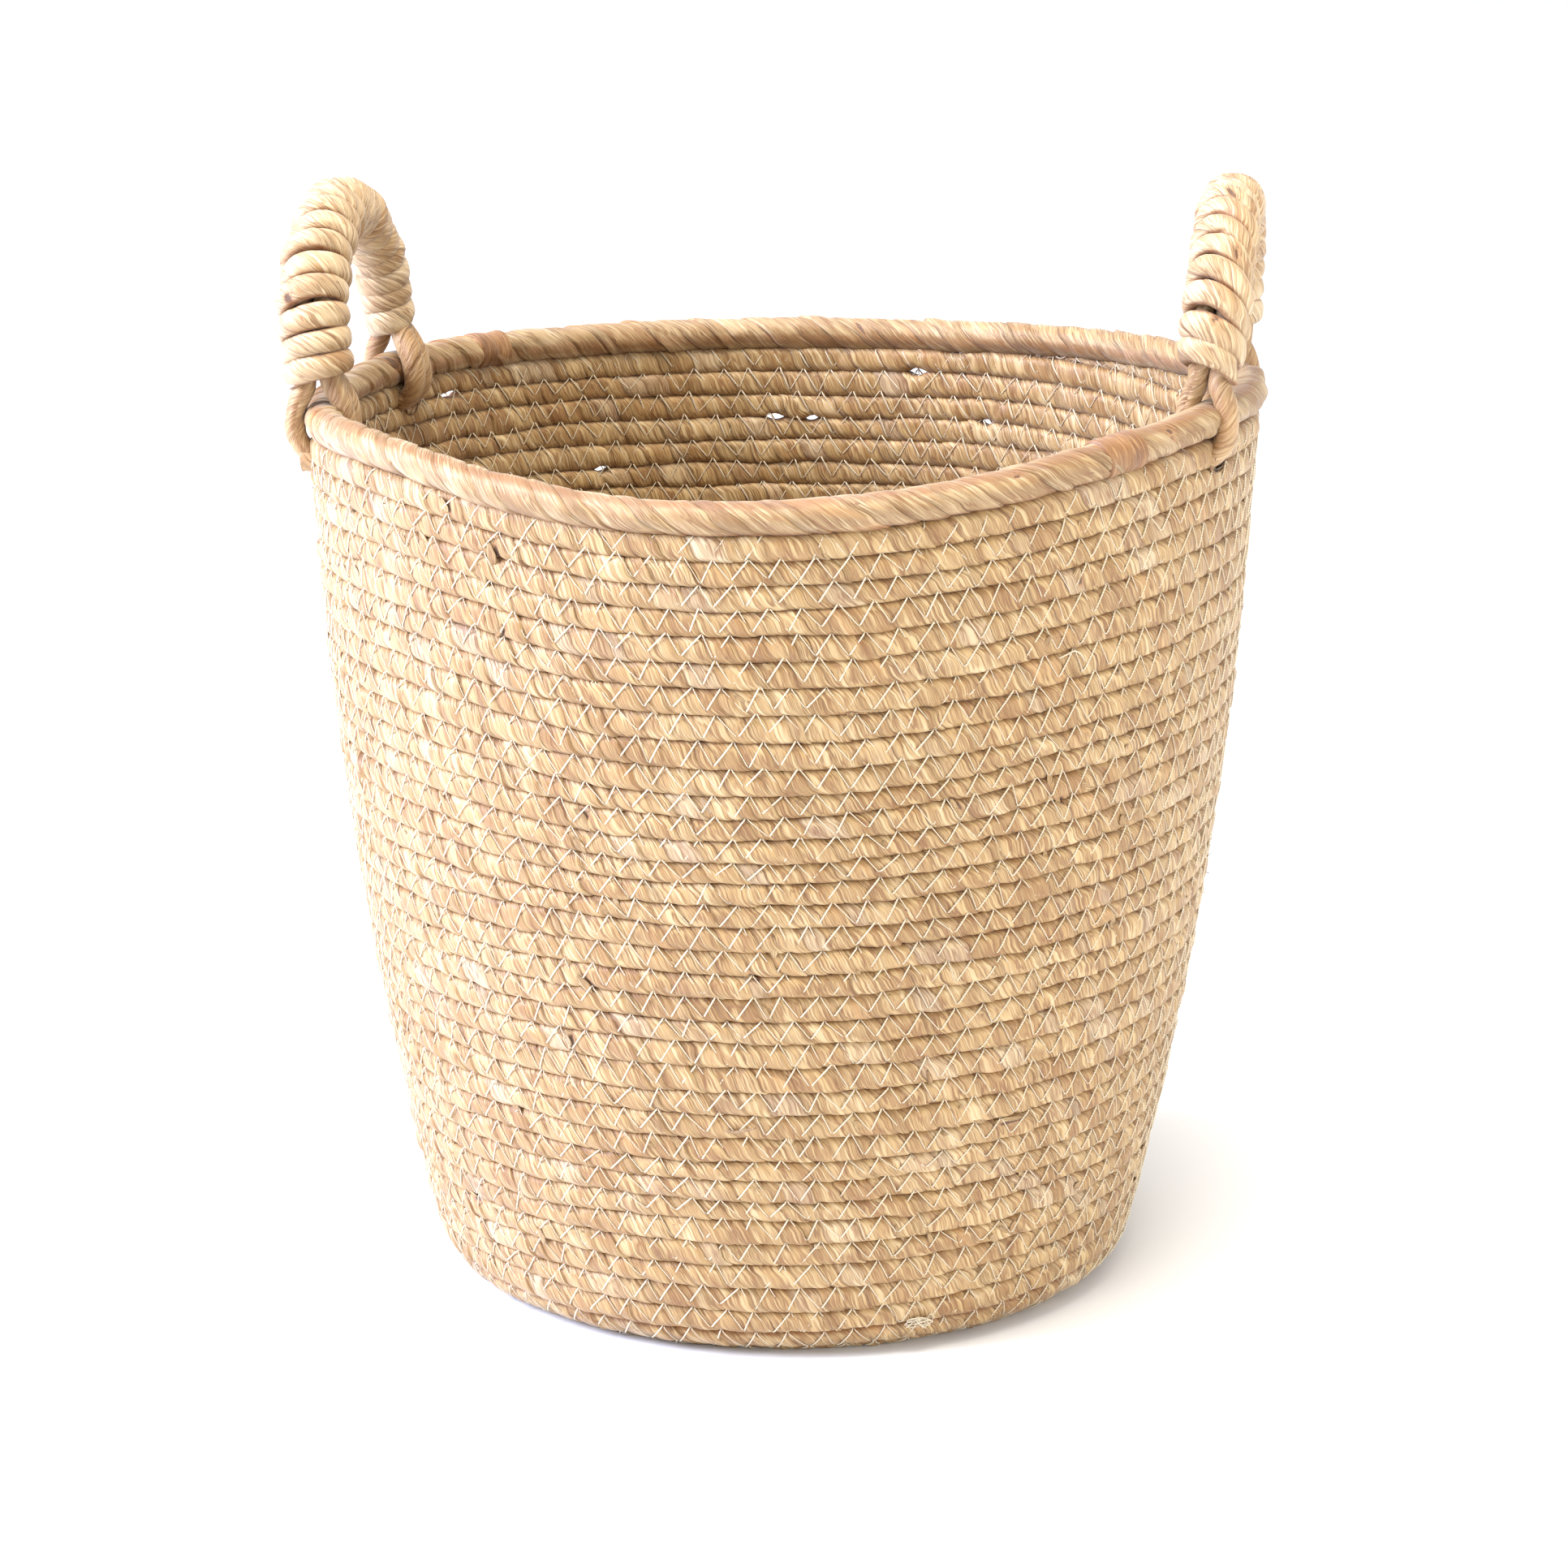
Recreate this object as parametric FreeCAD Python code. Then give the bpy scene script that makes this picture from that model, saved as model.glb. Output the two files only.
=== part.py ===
import FreeCAD, Part

import math
import os

# A laundry basket coiled from twisted husk rope and sewn with a thread seam between the rounds.
# Millimetres. +Z is up, Z = 0 is the floor, and the origin is the middle of the base.
# The two handles stand on the rim at -X (left) and +X (right). -Y is the front.

# ---- Driving dimensions -------------------------------------------------------------------------
RIM_DIAMETER = 398.0            # outside of the rim rope
FOOT_DIAMETER = 300.0           # outside of the wall where it leaves the rounded base corner
BODY_HEIGHT = 368.0             # floor to the top of the rim rope
WALL_BOW_DEG = 5.8              # how much the wall leans more at its foot, and less at its rim
CORNER_RADIUS = 16.0            # centre line of the rope round the base corner
ROPE_DIAMETER = 10.0            # coiled husk rope, so the thickness of the base and the wall
ROUND_PITCH = 10.4              # wanted distance from one round of rope to the next
SEAM_DEPTH = 2.0                # of the groove between two rounds, on each side
ROPE_FACE = 0.46                # share of a round's pitch that is its full thickness
LENGTH_GAP = 0.2                # between one length of rope and the next
RIM_ROPE_DIAMETER = 14.0        # the thicker last round
RIM_GAP = 0.4                   # between the rim rope and the round below it
RIM_END_GAP = 0.6               # between the two ends of the rim rope, under the front splice
THREAD_WIDTH = 0.9              # sewing thread
SPLICE_WIDTH = 26.0             # husk band round the rim rope, measured along it
SPLICE_THICKNESS = 1.0
FRONT_SPLICE_DEG = -37.0        # places of the two bands round the rim, from +X towards +Y
BACK_SPLICE_DEG = 145.0
STRAND_DIAMETER = 9.2           # strand that loops round the rim and holds a handle leg
LOOP_ROUNDS = 1                 # wall rounds that such a loop takes in under the rim
CORE_DIAMETER = 9.0             # each of the two strands inside a handle
WRAP_DIAMETER = 28.0            # outside of the husk wound round a handle
HANDLE_SPAN = 115.0             # between the middles of a handle's two legs, at the rim
LEFT_HANDLE_RISE = 89.0         # top of each handle above the top of the rim
RIGHT_HANDLE_RISE = 102.0
LEG_CONVERGE_DEG = 4.0          # each leg leans this much towards the other
HANDLE_LEAN_DEG = 3.0           # a handle at rest leans out by this much
FIT_CLEARANCE = 0.1             # between pieces wound on each other
HOLE_CLEARANCE = 0.3            # round a loop where it passes through the wall
SWING_CLEARANCE = 0.6           # between a handle and the loops that it turns on

# ---- Lengths of rope, from the middle of the base up ----------------------------------------------
BASE_LENGTHS = ["base_coil_inner", "base_coil_outer"]
WALL_LENGTHS = [f"wall_coil_{number}" for number in range(1, 9)]

# ---- Sizes that follow --------------------------------------------------------------------------
ROPE_RADIUS = ROPE_DIAMETER / 2
RIM_ROPE_RADIUS = RIM_ROPE_DIAMETER / 2
STRAND_RADIUS = STRAND_DIAMETER / 2
CORE_RADIUS = CORE_DIAMETER / 2
WRAP_RADIUS = WRAP_DIAMETER / 2
BASE_Z = ROPE_RADIUS
RIM_Z = BODY_HEIGHT - RIM_ROPE_RADIUS
RIM_RADIUS = RIM_DIAMETER / 2 - RIM_ROPE_RADIUS
LEG_X = math.sqrt(RIM_RADIUS ** 2 - (HANDLE_SPAN / 2) ** 2)
LEG_ANGLE_DEG = math.degrees(math.asin(HANDLE_SPAN / 2 / RIM_RADIUS))

Vector = FreeCAD.Vector
X_AXIS = Vector(1, 0, 0)
Y_AXIS = Vector(0, 1, 0)
Z_AXIS = Vector(0, 0, 1)
HALF_TURN = 180.0
FULL_TURN = 360.0


def disc(centre, normal, radius, bore=0.0):
    """A round section, with a hole in it where bore is more than nothing."""
    face = Part.Face(Part.Wire(Part.Circle(centre, normal, radius).toShape()))
    if bore > 0.0:
        face = face.cut(Part.Face(Part.Wire(Part.Circle(centre, normal, bore).toShape()))).Faces[0]
    return face


def run(vector):
    """A straight stretch of a rope's path."""
    return ("run", vector)


def turn(centre, axis, degrees):
    """A stretch of a rope's path that turns about an axis."""
    return ("turn", centre, axis, degrees)


def follow(section, path):
    """Sweeps a section along straight and turning stretches, each tangent to the one before."""
    pieces = []
    for stretch in path:
        if stretch[0] == "run":
            pieces.append(section.extrude(stretch[1]))
            section = section.translated(stretch[1])
        else:
            centre, axis, degrees = stretch[1:]
            pieces.append(section.revolve(centre, axis, degrees))
            section = section.rotated(centre, axis, degrees)
    if len(pieces) == 1:
        return pieces[0]
    return pieces[0].multiFuse(pieces[1:])


# ---- The outline of the basket -------------------------------------------------------------------
class Outline:
    """Middle of the rope in the (radius, height) plane: flat base, corner, then a bowed wall."""

    def __init__(self):
        bow = math.radians(WALL_BOW_DEG)
        self.foot_lean = 0.0
        for _ in range(30):
            # the wall's foot depends a little on its lean there, so this settles in a few rounds
            self.foot_r = FOOT_DIAMETER / 2 - ROPE_RADIUS * math.cos(self.foot_lean)
            self.foot_z = BASE_Z + CORNER_RADIUS * (1 - math.sin(self.foot_lean))
            rise, spread = RIM_Z - self.foot_z, RIM_RADIUS - self.foot_r
            self.foot_lean = math.atan2(spread, rise) + bow
        self.flat = self.foot_r - CORNER_RADIUS * math.cos(self.foot_lean)
        self.corner = CORNER_RADIUS * (math.pi / 2 - self.foot_lean)
        self.bow_radius = math.hypot(rise, spread) / 2 / math.sin(bow)
        self.length = self.flat + self.corner + self.bow_radius * 2 * bow

    def point(self, distance, out):
        """Point at a distance along the outline and at a distance outwards from it."""
        if distance <= self.flat:
            return Vector(distance, 0, BASE_Z - out)
        if distance <= self.flat + self.corner:
            angle = (distance - self.flat) / CORNER_RADIUS
            reach = CORNER_RADIUS + out
            height = BASE_Z + CORNER_RADIUS - reach * math.cos(angle)
            return Vector(self.flat + reach * math.sin(angle), 0, height)
        lean = self.foot_lean - (distance - self.flat - self.corner) / self.bow_radius
        reach = self.bow_radius + out
        centre_r = self.foot_r - self.bow_radius * math.cos(self.foot_lean)
        centre_z = self.foot_z + self.bow_radius * math.sin(self.foot_lean)
        return Vector(centre_r + reach * math.cos(lean), 0, centre_z - reach * math.sin(lean))


OUTLINE = Outline()
TOP_SEAM = OUTLINE.length - RIM_ROPE_RADIUS - RIM_GAP
ROUNDS = round(TOP_SEAM / ROUND_PITCH - 0.5)
PITCH = TOP_SEAM / (ROUNDS + 0.5)
BASE_SEAM = int(OUTLINE.flat / PITCH - 0.5)


def seam(number):
    """Distance along the outline of a seam; number 0 is round the rope's start in the middle."""
    return PITCH * (number + 0.5)


# ---- Handle loops -------------------------------------------------------------------------------
def loop(leg_angle, strand_radius):
    """A closed strand round the rim rope, through the wall a few rounds below it."""
    bend = RIM_ROPE_RADIUS + FIT_CLEARANCE + STRAND_RADIUS
    hole_depth = RIM_ROPE_RADIUS + RIM_GAP + PITCH * LOOP_ROUNDS
    drop = hole_depth - bend
    top = Vector(RIM_RADIUS, 0, RIM_Z)
    low = top - Z_AXIS * drop
    section = disc(top + X_AXIS * bend, Z_AXIS, strand_radius)
    path = [
        turn(top, Y_AXIS, -HALF_TURN),
        run(Z_AXIS * -drop),
        turn(low, Y_AXIS, -HALF_TURN),
        run(Z_AXIS * drop),
    ]
    return follow(section, path).rotated(Vector(), Z_AXIS, leg_angle)


LOOPS = {
    "right_front_loop": -LEG_ANGLE_DEG,
    "right_rear_loop": LEG_ANGLE_DEG,
    "left_front_loop": HALF_TURN + LEG_ANGLE_DEG,
    "left_rear_loop": HALF_TURN - LEG_ANGLE_DEG,
}


def loop_holes():
    """What the loops need cut out of the wall and the seams."""
    return [loop(angle, STRAND_RADIUS + HOLE_CLEARANCE) for angle in LOOPS.values()]


# ---- Basket -------------------------------------------------------------------------------------
def rounds_of_rope(first, last, from_middle=False):
    """Rounds of rope sewn side by side between two seams, grooved where they meet."""
    low_end = 0.0 if from_middle else seam(first) + LENGTH_GAP / 2
    high_end = seam(last) - LENGTH_GAP / 2
    face_side = (1 - ROPE_FACE) / 2
    side = []
    for number in range(first, last):
        start = seam(number)
        side.append((start, ROPE_RADIUS - SEAM_DEPTH))
        side.append((start + PITCH * face_side, ROPE_RADIUS))
        side.append((start + PITCH * (1 - face_side), ROPE_RADIUS))
    side.append((high_end, ROPE_RADIUS - SEAM_DEPTH))
    if from_middle:
        side = [(low_end, ROPE_RADIUS), (seam(0) - PITCH * face_side, ROPE_RADIUS)] + side
    else:
        side[0] = (low_end, ROPE_RADIUS - SEAM_DEPTH)
    outside = [OUTLINE.point(distance, out) for distance, out in side]
    inside = [OUTLINE.point(distance, -out) for distance, out in reversed(side)]
    outline = Part.makePolygon(outside + inside + outside[:1])
    return Part.Face(outline).revolve(Vector(), Z_AXIS, FULL_TURN)


def split_evenly(first, last, lengths):
    """Seams at which rope lengths begin and end."""
    return [first + round((last - first) * step / lengths) for step in range(lengths + 1)]


def base_and_wall():
    """The coiled rope, from the middle of the base to the round under the rim."""
    pieces = {}
    seams_at = split_evenly(0, BASE_SEAM, len(BASE_LENGTHS))
    for name, first, last in zip(BASE_LENGTHS, seams_at, seams_at[1:]):
        pieces[name] = rounds_of_rope(first, last, from_middle=(first == 0))
    seams_at = split_evenly(BASE_SEAM, ROUNDS, len(WALL_LENGTHS))
    for name, first, last in zip(WALL_LENGTHS, seams_at, seams_at[1:]):
        pieces[name] = rounds_of_rope(first, last)
    # a loop's hole can reach into the length below the top one when the lengths are short
    for name in WALL_LENGTHS[-2:]:
        pieces[name] = pieces[name].cut(loop_holes())
    return pieces


def rim_ring(radius, first_deg=0.0, sweep_deg=FULL_TURN, bore=0.0):
    """A ring, or a part of one, on the centre line of the rim rope."""
    section = disc(Vector(RIM_RADIUS, 0, RIM_Z), Y_AXIS, radius, bore)
    ring = follow(section, [turn(Vector(), Z_AXIS, sweep_deg)])
    return ring.rotated(Vector(), Z_AXIS, first_deg)


def rim():
    gap_deg = math.degrees(RIM_END_GAP / RIM_RADIUS)
    band_deg = math.degrees(SPLICE_WIDTH / RIM_RADIUS)
    bore = RIM_ROPE_RADIUS + FIT_CLEARANCE
    pieces = {
        "rim_rope": rim_ring(RIM_ROPE_RADIUS, FRONT_SPLICE_DEG + gap_deg / 2, FULL_TURN - gap_deg)
    }
    # each band is open underneath, where the rim rope is sewn to the round below it
    places = {"rim_splice_front": FRONT_SPLICE_DEG, "rim_splice_back": BACK_SPLICE_DEG}
    reach = RIM_DIAMETER
    under = Part.makeBox(
        2 * reach, 2 * reach, reach, Vector(-reach, -reach, RIM_Z - RIM_ROPE_RADIUS / 2 - reach)
    )
    for name, angle in places.items():
        band = rim_ring(bore + SPLICE_THICKNESS, angle - band_deg / 2, band_deg, bore)
        pieces[name] = band.cut(under)
    return pieces


def thread_ring(number, side):
    """Thread lying in the groove of a seam: side 1 is outside or under, -1 inside or on top."""
    out = ROPE_RADIUS - SEAM_DEPTH + FIT_CLEARANCE
    half = THREAD_WIDTH / 2
    middle = seam(number)
    corners = [
        OUTLINE.point(middle, side * out),
        OUTLINE.point(middle + half, side * (out + half)),
        OUTLINE.point(middle, side * (out + THREAD_WIDTH)),
        OUTLINE.point(middle - half, side * (out + half)),
    ]
    return Part.Face(Part.makePolygon(corners + corners[:1])).revolve(Vector(), Z_AXIS, FULL_TURN)


def seams():
    """One line of thread in each groove between two rounds, on both sides."""
    sides = {
        "base_seam_under": (0, BASE_SEAM, 1),
        "base_seam_upper": (0, BASE_SEAM, -1),
        "wall_seam_outside": (BASE_SEAM, ROUNDS, 1),
        "wall_seam_inside": (BASE_SEAM, ROUNDS, -1),
    }
    pieces = {}
    for name, (first, last, side) in sides.items():
        rings = Part.makeCompound([thread_ring(number, side) for number in range(first, last)])
        pieces[name] = rings.cut(loop_holes()) if last == ROUNDS else rings
    return pieces


# ---- Handles ------------------------------------------------------------------------------------
def handle_piece(rise, radius, bore, offset):
    """A piece along one handle's legs and arch, on the +X side, offset square to the handle."""
    lean = math.radians(LEG_CONVERGE_DEG)
    top = rise + RIM_ROPE_RADIUS - WRAP_RADIUS
    arch = (HANDLE_SPAN / 2 - top * math.tan(lean)) * math.cos(lean) / (1 - math.sin(lean))
    up = Vector(0, math.sin(lean), math.cos(lean))
    down = Vector(0, math.sin(lean), -math.cos(lean))
    foot = Vector(LEG_X, -HANDLE_SPAN / 2, RIM_Z)
    clear = RIM_ROPE_RADIUS + FIT_CLEARANCE + STRAND_DIAMETER + SWING_CLEARANCE
    start = foot + up * (clear + WRAP_RADIUS * math.tan(lean))
    centre = Vector(LEG_X, 0, RIM_Z + top - arch)
    leg = (centre - start).dot(up)
    path = [
        run(up * leg),
        turn(centre, X_AXIS, -(HALF_TURN - 2 * LEG_CONVERGE_DEG)),
        run(down * leg),
    ]
    piece = follow(disc(start + X_AXIS * offset, up, radius, bore), path)
    return piece.rotated(Vector(LEG_X, 0, RIM_Z), Y_AXIS, HANDLE_LEAN_DEG)


def handles():
    """Two core strands side by side with husk wound round them, on each side of the basket."""
    core_offset = CORE_RADIUS + FIT_CLEARANCE / 2
    wrap_bore = core_offset + CORE_RADIUS + FIT_CLEARANCE
    kinds = {
        "handle_core_outer": (CORE_RADIUS, 0.0, core_offset),
        "handle_core_inner": (CORE_RADIUS, 0.0, -core_offset),
        "handle_wrap": (WRAP_RADIUS, wrap_bore, 0.0),
    }
    pieces = {}
    for kind, sizes in kinds.items():
        left = handle_piece(LEFT_HANDLE_RISE, *sizes)
        pieces[f"left_{kind}"] = left.rotated(Vector(), Z_AXIS, HALF_TURN)
        pieces[f"right_{kind}"] = handle_piece(RIGHT_HANDLE_RISE, *sizes)
    return pieces


def main():
    os.makedirs("parts", exist_ok=True)
    pieces = base_and_wall()
    pieces.update(rim())
    pieces.update(seams())
    pieces.update({name: loop(angle, STRAND_RADIUS) for name, angle in LOOPS.items()})
    pieces.update(handles())
    for name, shape in pieces.items():
        shape.exportStep(f"parts/{name}.step")
        print(name, "solids", len(shape.Solids), "volume", round(shape.Volume), shape.isValid())
    print("rounds", ROUNDS, "pitch", round(PITCH, 3), "base rounds", BASE_SEAM, "flat", OUTLINE.flat)


main()
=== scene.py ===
import math
from math import pi, radians

import bpy
import numpy as np
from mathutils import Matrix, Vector


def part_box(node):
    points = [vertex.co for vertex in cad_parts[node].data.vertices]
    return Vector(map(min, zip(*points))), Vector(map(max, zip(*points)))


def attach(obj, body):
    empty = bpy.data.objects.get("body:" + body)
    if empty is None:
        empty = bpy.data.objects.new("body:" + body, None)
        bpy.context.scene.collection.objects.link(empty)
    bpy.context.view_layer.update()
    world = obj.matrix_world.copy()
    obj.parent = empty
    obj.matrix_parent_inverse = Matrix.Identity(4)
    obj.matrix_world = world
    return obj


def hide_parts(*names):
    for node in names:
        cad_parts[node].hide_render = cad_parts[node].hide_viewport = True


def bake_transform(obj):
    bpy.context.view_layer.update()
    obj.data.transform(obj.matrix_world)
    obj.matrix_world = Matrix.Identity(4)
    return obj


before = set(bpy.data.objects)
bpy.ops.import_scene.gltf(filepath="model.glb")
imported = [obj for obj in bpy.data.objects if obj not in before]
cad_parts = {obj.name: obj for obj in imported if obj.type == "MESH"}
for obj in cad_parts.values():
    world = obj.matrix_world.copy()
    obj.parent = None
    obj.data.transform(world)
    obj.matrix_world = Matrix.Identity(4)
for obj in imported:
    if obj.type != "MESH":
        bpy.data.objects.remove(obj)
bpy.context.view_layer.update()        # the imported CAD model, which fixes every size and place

# Shapes are worked out in millimetres in the CAD frame, and become metres when a mesh is made.
MM = 0.001
TAU = 2 * pi

# ---- Sizes of the husk rope and the stitches
ROPE_R = 5.0  # coiled rope
ROPE_LEAD = 21.0  # length of rope in which its husk winds round once
ROPE_HUSKS = 2  # husk edges met in one lead
FOOT_R = 145.1  # centre line of the rope where the wall leaves the base corner
CORNER_R = 16.0  # centre line of the rope round the base corner
WALL_BOW = radians(5.8)  # the wall leans more at its foot and less at its rim
ROUNDS = 48  # rounds of rope from the middle of the base to the rim
BASE_ROUNDS = 12
WALL_LENGTHS = 8
SQUARENESS = 2.85  # section of the rope: 2 is round, more is flatter where rounds meet
PRESSED = 1.06  # each round's height over its share, as rounds press into each other
STITCH = 6.35  # rope from a needle hole at the top of a stitch to the next one below
THREAD_R = 0.4
UP_R, DOWN_R = 0.33, 0.20  # the zigzag's thread where it climbs and where it falls
UP_SUNK, DOWN_SUNK = 0.45, 0.9
RIM_LEAD = 42.0  # the rim's thicker rope
RIM_HUSKS = 3
FRONT_SPLICE_DEG = -37.0  # the two bands round the rim, from +X towards +Y
BACK_SPLICE_DEG = 145.0
LOOP_DEPTH = 13.5  # rim centre to where a strand goes in through the wall
STRAND_R = 4.6  # strands that hold a handle to the rim
STRAND_LEAD = 24.0
STRAND_HUSKS = 2
WRAP_R = 14.0  # outside of the husk wound round a handle
WRAP_MIDDLE = 10.6  # from a handle's middle line to the middle of that husk strand
WRAP_DEPTH = 3.3  # half of its thickness where it is pressed flat
WRAP_SWELL = 1.1  # how much thicker it is between
WRAP_PITCH = 9.6  # from one winding to the next
WRAP_LEAD = 24.0
WRAP_HUSKS = 2
HANDLE_SPAN = 115.0
HANDLE_RISE = {"left": 89.0, "right": 102.0}
LEG_CONVERGE_DEG = 4.0
HANDLE_LEAN_DEG = {"left": 5.0, "right": 2.0}
REAR_LEG_IN = {"left": 0.0, "right": 3.5}  # how far each rear leg stands in from the rim
CAMERA_AZIMUTH = 11.0
CAMERA_ELEVATION = 15.9
CAMERA_DISTANCE = 2150.0
CAMERA_AIM = (0.0, 0.0, 203.0)
FLAKES = 260  # small lifted bits of husk scattered over the wall
AROUND = 34  # cells round a rope
ACROSS = (0.0, 0.05, 0.16, 0.3, 0.45, 0.6, 0.75, 0.88, 0.97)  # cells across a husk


def node_box(name):
    low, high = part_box(name)
    return np.array(low) / MM, np.array(high) / MM


RIM_LOW, RIM_HIGH = node_box("rim_rope")
RIM_ROPE_R = (RIM_HIGH[2] - RIM_LOW[2]) / 2
RIM_Z = (RIM_HIGH[2] + RIM_LOW[2]) / 2
RIM_R = RIM_HIGH[0] - RIM_ROPE_R
BASE_Z = node_box("base_coil_inner")[1][2] - ROPE_R


# ---- Smooth and scattered randomness, the same on every run
PRIMES = (374761393, 668265263, 2246822519)


def scatter(seed, *cells):
    """A random number from -1 to 1 for each whole-number cell."""
    cells = np.broadcast_arrays(*cells)
    mixed = np.full(cells[0].shape, (seed * 2654435761 + 97) & 0xFFFFFFFF, np.uint32)
    for prime, cell in zip(PRIMES, cells):
        whole = (cell.astype(np.int64) & 0xFFFFFFFF).astype(np.uint32)
        mixed = mixed ^ (whole * np.uint32(prime))
        mixed = (mixed ^ (mixed >> np.uint32(15))) * np.uint32(2246822519)
        mixed = mixed ^ (mixed >> np.uint32(13))
    mixed = (mixed * np.uint32(3266489917)) ^ (mixed >> np.uint32(16))
    return mixed / 2.0 ** 31 - 1.0


def ease(x):
    """0 to 1 and level at both ends, as x goes from 0 to 1."""
    x = np.clip(x, 0.0, 1.0)
    return x * x * (3 - 2 * x)


def unit(vectors):
    return vectors / np.maximum(np.linalg.norm(vectors, axis=-1, keepdims=True), 1e-9)


def walk(points):
    """Distance along a line of points, from 0 at the first."""
    return np.concatenate([[0.0], np.cumsum(np.linalg.norm(np.diff(points, axis=0), axis=1))])


def compass(degrees):
    return math.cos(radians(degrees)), math.sin(radians(degrees))


def wander(seed, x, y=0.0, wrap=None):
    """Smooth noise from -1 to 1, one cell for each step of x and y, repeating after wrap cells of x."""
    x, y = np.broadcast_arrays(np.asarray(x, float), np.asarray(y, float))
    x0, y0 = np.floor(x), np.floor(y)
    fx, fy = ease(x - x0), ease(y - y0)
    x1 = x0 + 1
    if wrap:
        x0, x1 = np.mod(x0, wrap), np.mod(x1, wrap)
    near = scatter(seed, x0, y0) * (1 - fx) + scatter(seed, x1, y0) * fx
    far = scatter(seed, x0, y0 + 1) * (1 - fx) + scatter(seed, x1, y0 + 1) * fx
    return near * (1 - fy) + far * fy


# ---- The outline that the coil climbs: flat base, rounded corner, bowed wall
class Outline:
    def __init__(self):
        lean = 0.0
        for _ in range(30):
            foot_z = BASE_Z + CORNER_R * (1 - math.sin(lean))
            lean = math.atan2(RIM_R - FOOT_R, RIM_Z - foot_z) + WALL_BOW
        self.foot_lean, self.foot_z = lean, foot_z
        self.flat = FOOT_R - CORNER_R * math.cos(lean)
        self.corner = CORNER_R * (pi / 2 - lean)
        self.bow_r = math.hypot(RIM_R - FOOT_R, RIM_Z - foot_z) / 2 / math.sin(WALL_BOW)
        self.length = self.flat + self.corner + self.bow_r * 2 * WALL_BOW

    def at(self, distance):
        """Radius, height and outward direction (radial, up) at a distance along the outline."""
        turned = np.clip((distance - self.flat) / CORNER_R, 0, self.corner / CORNER_R)
        past = np.maximum(distance - self.flat - self.corner, 0)
        lean = self.foot_lean - past / self.bow_r
        radius = np.minimum(distance, self.flat) + CORNER_R * np.sin(turned)
        radius = radius + self.bow_r * (np.cos(lean) - math.cos(self.foot_lean))
        height = BASE_Z + CORNER_R * (1 - np.cos(turned))
        height = height + self.bow_r * (math.sin(self.foot_lean) - np.sin(lean))
        angle = np.where(past > 0, -lean, turned - pi / 2)
        return radius, height, np.cos(angle), np.sin(angle)


OUTLINE = Outline()

# ---- The rim's rises, where the handles pull the soft wall up
RIM_RISES = [  # azimuth, height and spread in degrees of each rise
    (-22.0, 18.5, 40.0), (35.0, 8.0, 38.0), (-135.0, 10.5, 27.0), (165.0, 4.5, 30.0),
]
RISE_FOOT = 100.0  # height at which the wall starts to follow the rises
RISE_TOP = 95.0  # above the rim, where a handle no longer follows them


def rise(angle, height):
    """How far the rises lift a point at an azimuth in radians and a height."""
    lifted = 0.0
    for azimuth, most, spread in RIM_RISES:
        apart = np.mod(np.degrees(angle) - azimuth + 180.0, 360.0) - 180.0
        lifted = lifted + most * np.exp(-(apart / spread) ** 2)
    below = np.clip((height - RISE_FOOT) / (RIM_Z - RISE_FOOT), 0.0, 1.0) ** 1.5
    return lifted * below * (1 - ease((height - RIM_Z) / RISE_TOP))


# ---- The coil: where its seams and rounds lie along the outline
TOP_SEAM = OUTLINE.length - RIM_ROPE_R + 0.3
STEP_END = 0.04  # share of a round, past the back, by which each round has stepped up
STEP_SHARE = 0.17  # share of a round that the step takes near the rim
PITCH = TOP_SEAM / (ROUNDS - 0.25 - STEP_END)
LAST_TURN = ROUNDS - STEP_END
LIGHT_GAPS = [  # turns of seams that light comes through, and how wide in turns
    (46.964, 0.005), (45.979, 0.004), (44.034, 0.004), (44.02, 0.003), (42.103, 0.003), (46.172, 0.005),
    (43.95, 0.003),
]
GAP_DEPTH = 1.5
UNEVEN = [  # how seams wander: size, seed, waves in a round, and turns for one wave
    (0.95, 11, 19, 0.85), (0.75, 15, 47, 1.0), (1.7, 12, 6, 4.5), (0.3, 16, 131, 1.0),
]


def seam(turn):
    """Distance along the outline of the seam half a pitch above the round at a turn, in turns."""
    whole = np.floor(turn + STEP_END)
    part = turn + STEP_END - whole
    step = ease((part - 1 + STEP_SHARE) / STEP_SHARE)
    level = ease((turn - ROUNDS * 0.55) / (ROUNDS * 0.3))
    rounds = whole - STEP_END + part + (step - part) * level
    angle = np.mod(turn, 1.0)
    uneven = sum(size * wander(seed, angle * waves, turn / rows, wrap=waves)
                 for size, seed, waves, rows in UNEVEN)
    calm = ease((ROUNDS - 1.0 - turn) / 3.0) * ease((turn + 0.5) / 5.0)
    return np.clip(PITCH * (rounds + 0.75) + uneven * calm, 0.0, TOP_SEAM)


class Route:
    """A rope's centre line, with its outward direction, depth and half height all the way along."""

    def __init__(self, centre, out, depth, half):
        ahead = unit(np.gradient(centre, axis=0))
        out = unit(out - ahead * np.sum(out * ahead, axis=1, keepdims=True))
        self.length = walk(centre)
        sizes = [np.broadcast_to(size, self.length.shape) for size in (depth, half)]
        self.table = np.column_stack([centre, out, np.cross(out, ahead)] + sizes)

    def __call__(self, length, angles=None):
        """Centre, outward and upward directions, depth and half height, and no stitch pulling it in."""
        found = np.stack([np.interp(length, self.length, column) for column in self.table.T], -1)
        return found[..., :3], found[..., 3:6], found[..., 6:9], found[..., 9], found[..., 10], 0.0


def gap_width(turn):
    """How far a round stands back from its seam at the few places where light comes through."""
    return sum(GAP_DEPTH * np.exp(-((turn - place) / spread) ** 4) for place, spread in LIGHT_GAPS)


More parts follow.
